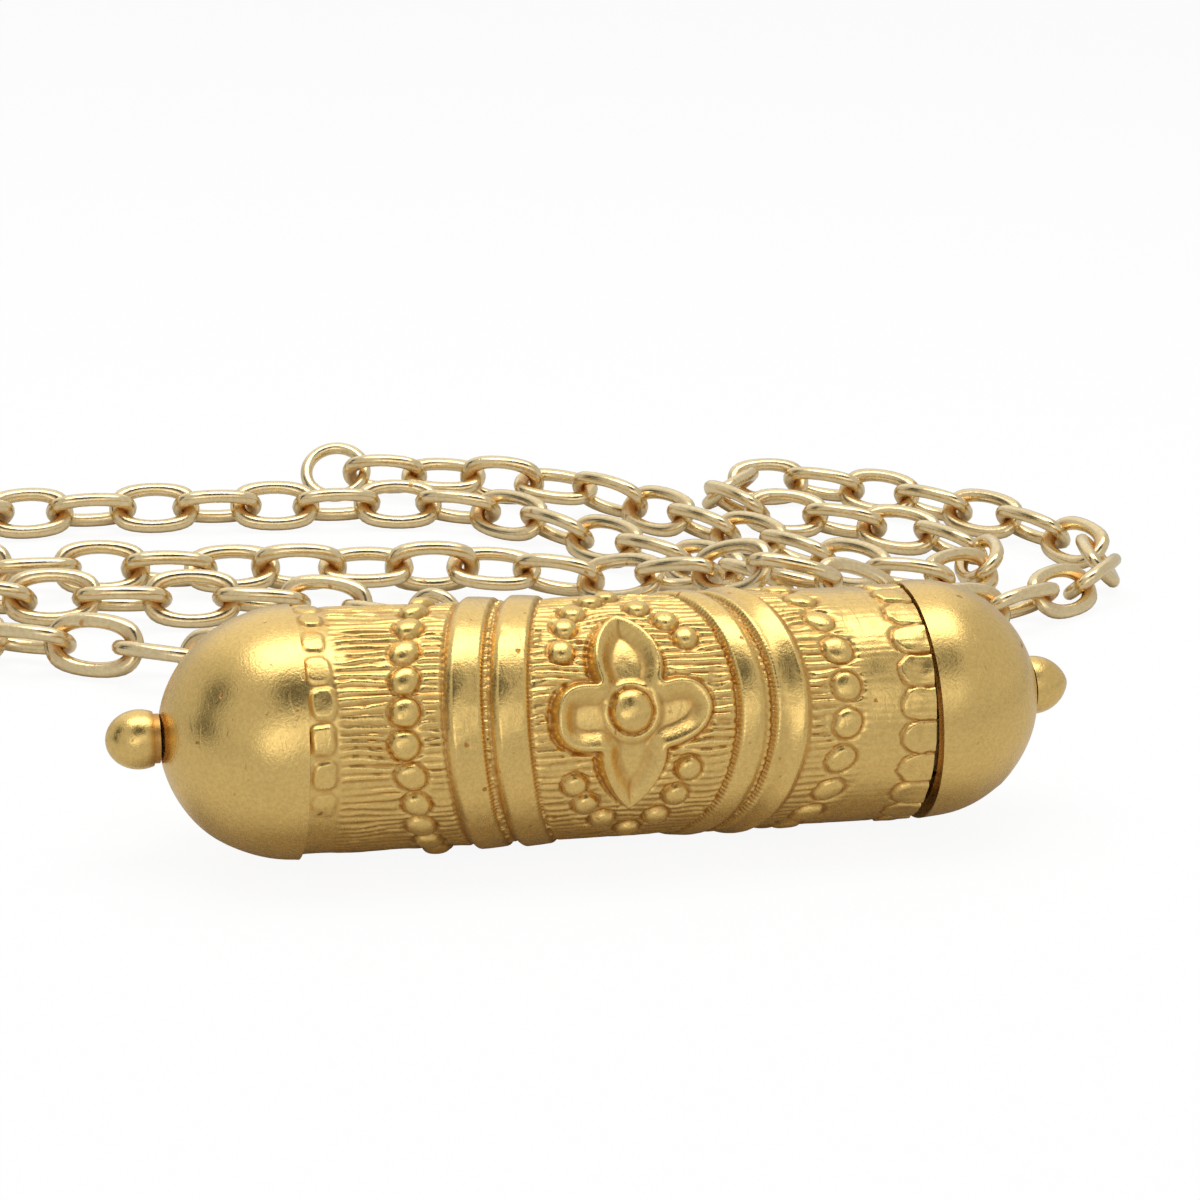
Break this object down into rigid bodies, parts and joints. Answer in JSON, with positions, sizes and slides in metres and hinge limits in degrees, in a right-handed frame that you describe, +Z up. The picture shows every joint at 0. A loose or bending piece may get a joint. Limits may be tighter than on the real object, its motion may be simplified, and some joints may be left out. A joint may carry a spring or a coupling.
{
  "type": "amulet necklace",
  "caption": "Cylindrical amulet case with a pull-off cap, raised rings and a rosette, hung by two eyes and jump rings on an undone oval cable chain with a lobster clasp.",
  "frame": {"origin": "on the flat facet of the barrel's underside, below the middle of the capsule", "axes": "+X along the capsule towards its pull-off cap, +Y away from the rosette's side and towards the chain, +Z up"},
  "size_m": [0.0995, 0.0858, 0.0152],
  "materials": {
    "satin_gold": "satin yellow gold plate, lightly pitted",
    "collar_brass": "dull tan brass, slotted and sprung",
    "pale_gold": "polished pale champagne gold plate",
    "spring_steel": "plain bright steel",
    "scroll_paper": "rolled cream paper, blank",
    "cotton_thread": "red cotton thread"
  },
  "bodies": {
    "chain": {"long_chain_01": "pale_gold", "long_chain_02": "pale_gold", "long_chain_03": "pale_gold", "long_chain_04": "pale_gold", "long_chain_05": "pale_gold", "long_chain_06": "pale_gold", "long_chain_07": "pale_gold", "long_chain_08": "pale_gold", "long_chain_09": "pale_gold", "long_chain_10": "pale_gold", "long_chain_11": "pale_gold", "long_chain_12": "pale_gold", "long_chain_13": "pale_gold", "long_chain_14": "pale_gold", "long_chain_15": "pale_gold", "long_chain_16": "pale_gold", "front_chain_01": "pale_gold", "front_chain_02": "pale_gold", "front_chain_03": "pale_gold", "left_jump_ring": "pale_gold", "right_jump_ring": "pale_gold"},
    "case": {"case_barrel": "satin_gold", "fixed_dome": "satin_gold", "ball_finial": "satin_gold", "left_bail": "satin_gold", "right_bail": "satin_gold"},
    "collar": {"spring_collar": "collar_brass"},
    "cap": {"pull_off_cap": "satin_gold", "cone_finial": "satin_gold"},
    "scroll": {"prayer_scroll": "scroll_paper", "scroll_thread": "cotton_thread"},
    "front_chain_end": {"front_chain_04": "pale_gold", "front_chain_05": "pale_gold", "clasp_jump_ring": "pale_gold"},
    "clasp": {"clasp_body": "pale_gold", "clasp_pin": "spring_steel", "clasp_spring": "spring_steel"},
    "lever": {"clasp_lever": "pale_gold"},
    "long_chain_end": {"long_chain_17": "pale_gold", "long_chain_18": "pale_gold"},
    "ring": {"end_ring": "pale_gold"}
  },
  "joints": [
    {"name": "case_swing", "type": "hinge", "parent": "chain", "child": "case", "pos_m": [0, 0.00846, 0.00365], "axis": [-1, 0, 0], "range_deg": [0, 90]},
    {"name": "collar_turn", "type": "hinge", "parent": "case", "child": "collar", "pos_m": [0, 0, 0.00719], "axis": [1, 0, 0], "continuous": true},
    {"name": "cap_pull", "type": "slide", "parent": "collar", "child": "cap", "axis": [1, 0, 0], "range_m": [0, 0.02]},
    {"name": "scroll_slide", "type": "slide", "parent": "case", "child": "scroll", "axis": [1, 0, 0], "range_m": [-0.003, 0.008]},
    {"name": "front_end_swing", "type": "hinge", "parent": "chain", "child": "front_chain_end", "pos_m": [-0.03253, 0.04437, 0.00159], "axis": [0, 0, 1], "range_deg": [-20, 8]},
    {"name": "clasp_swing", "type": "hinge", "parent": "front_chain_end", "child": "clasp", "pos_m": [-0.00182, 0.03331, 0.00203], "axis": [0, 0, 1], "range_deg": [-45, 45]},
    {"name": "lever_press", "type": "hinge", "parent": "clasp", "child": "lever", "pos_m": [0.00268, 0.03152, 0.00144], "axis": [0.1001, -0.0748, 0.9922], "range_deg": [-30, 0], "stiffness_Nm_per_rad": 0.002},
    {"name": "long_end_swing", "type": "hinge", "parent": "chain", "child": "long_chain_end", "pos_m": [0.02454, 0.0553, 0.00156], "axis": [0, 0, 1], "range_deg": [-20, 5]},
    {"name": "ring_swing", "type": "hinge", "parent": "long_chain_end", "child": "ring", "pos_m": [-0.00212, 0.0747, 0.00182], "axis": [0, 0, 1], "range_deg": [-25, 25]}
  ]
}
